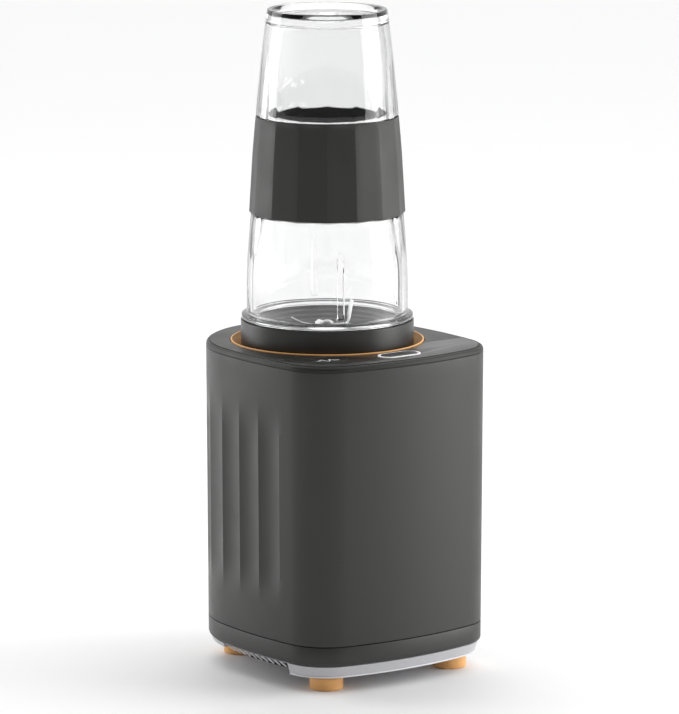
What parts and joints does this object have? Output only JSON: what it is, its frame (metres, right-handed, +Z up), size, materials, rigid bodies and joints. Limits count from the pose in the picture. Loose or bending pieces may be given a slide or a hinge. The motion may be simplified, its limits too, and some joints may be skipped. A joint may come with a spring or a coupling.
{
  "type": "personal countertop blender",
  "caption": "Personal blender: fluted charcoal motor base with flush keys, peach accent ring and feet, blade unit in a threaded collar, and an upturned clear cup with a faceted grip sleeve.",
  "frame": {"origin": "on the table, under the middle of the base's plan outline", "axes": "+Z up through the cup, -Y to the front where the two keys are, +X to the right of someone facing the front"},
  "size_m": [0.1232, 0.138, 0.3394],
  "materials": {
    "charcoal_plastic": "fine satin",
    "deck_plastic": "satin",
    "panel_gloss": "gloss",
    "peach_plastic": "satin",
    "peach_rubber": "soft matte",
    "pale_grey_plastic": "satin",
    "collar_plastic": "satin",
    "sleeve_rubber": "soft satin",
    "clear_cup": "clear, polished",
    "silicone": "matte",
    "steel": "satin",
    "laminations": "rolled",
    "enamelled_wire": "enamelled",
    "brass": "machined",
    "carbon": "matte",
    "coupling_nylon": "matte",
    "circuit_board": "satin",
    "black_rubber": "matte",
    "light_guide": "frosted"
  },
  "bodies": {
    "base": {"accent_ring": "peach_plastic", "base_housing": "charcoal_plastic", "base_skirt": "charcoal_plastic", "bottom_tray": "pale_grey_plastic", "brush_holder_left": "brass", "brush_holder_right": "brass", "brush_left": "carbon", "brush_right": "carbon", "brush_spring_left": "steel", "brush_spring_right": "steel", "button_board": "circuit_board", "control_panel": "panel_gloss", "cord_bushing": "black_rubber", "coupling_well": "deck_plastic", "field_coil_front": "enamelled_wire", "field_coil_rear": "enamelled_wire", "foot_front_left": "peach_rubber", "foot_front_right": "peach_rubber", "foot_rear_left": "peach_rubber", "foot_rear_right": "peach_rubber", "housing_screw_front_left": "steel", "housing_screw_front_right": "steel", "housing_screw_rear_left": "steel", "housing_screw_rear_right": "steel", "interlock_switch": "coupling_nylon", "lower_bearing": "steel", "lower_motor_bracket": "laminations", "motor_bolt_left": "steel", "motor_bolt_right": "steel", "motor_damper_front_left": "black_rubber", "motor_damper_front_right": "black_rubber", "motor_damper_rear_left": "black_rubber", "power_board": "circuit_board", "power_light_ring": "light_guide", "stator_core": "laminations", "top_deck": "deck_plastic", "upper_bearing": "steel", "upper_motor_bracket": "laminations"},
    "rotor": {"motor_shaft": "steel", "armature_core": "laminations", "armature_winding": "enamelled_wire", "commutator": "brass", "cooling_fan": "coupling_nylon", "drive_coupling": "coupling_nylon"},
    "power_key": {"power_button": "panel_gloss"},
    "pulse_key": {"pulse_button": "panel_gloss"},
    "interlock": {"interlock_plunger": "pale_grey_plastic"},
    "blade_unit": {"blade_seat": "collar_plastic", "blade_gasket": "silicone", "spindle_bush": "brass"},
    "collar": {"blade_collar": "collar_plastic"},
    "blades": {"blade_spindle": "steel", "lower_blade": "steel", "upper_blade": "steel", "blade_nut": "steel", "driven_coupling": "coupling_nylon"},
    "cup": {"blending_cup": "clear_cup", "cup_sleeve": "sleeve_rubber"}
  },
  "joints": [
    {"name": "motor_spin", "type": "hinge", "parent": "base", "child": "rotor", "pos_m": [0, 0.005, 0.1], "axis": [0, 0, 1], "continuous": true},
    {"name": "power_press", "type": "slide", "parent": "base", "child": "power_key", "axis": [0, 0, -1], "range_m": [0, 0.001], "stiffness_N_per_m": 400, "springref_m": -0.001},
    {"name": "pulse_press", "type": "slide", "parent": "base", "child": "pulse_key", "axis": [0, 0, -1], "range_m": [0, 0.001], "stiffness_N_per_m": 400, "springref_m": -0.001},
    {"name": "interlock_press", "type": "slide", "parent": "base", "child": "interlock", "axis": [0, 0, -1], "range_m": [0, 0.0015], "stiffness_N_per_m": 200, "springref_m": -0.002},
    {"name": "assembly_lift", "type": "slide", "parent": "base", "child": "blade_unit", "axis": [0, 0, 1], "range_m": [0, 0.06]},
    {"name": "collar_twist", "type": "hinge", "parent": "blade_unit", "child": "collar", "pos_m": [0, 0.005, 0.165], "axis": [0, 0, 1], "range_deg": [-90, 0]},
    {"name": "cup_lift", "type": "slide", "parent": "blade_unit", "child": "cup", "axis": [0, 0, 1], "range_m": [0, 0.09]},
    {"name": "blade_spin", "type": "hinge", "parent": "blade_unit", "child": "blades", "pos_m": [0, 0.005, 0.17], "axis": [0, 0, 1], "continuous": true}
  ],
  "couplings": [
    {"joint": "blade_spin", "follows": "motor_spin", "ratio": 1}
  ]
}
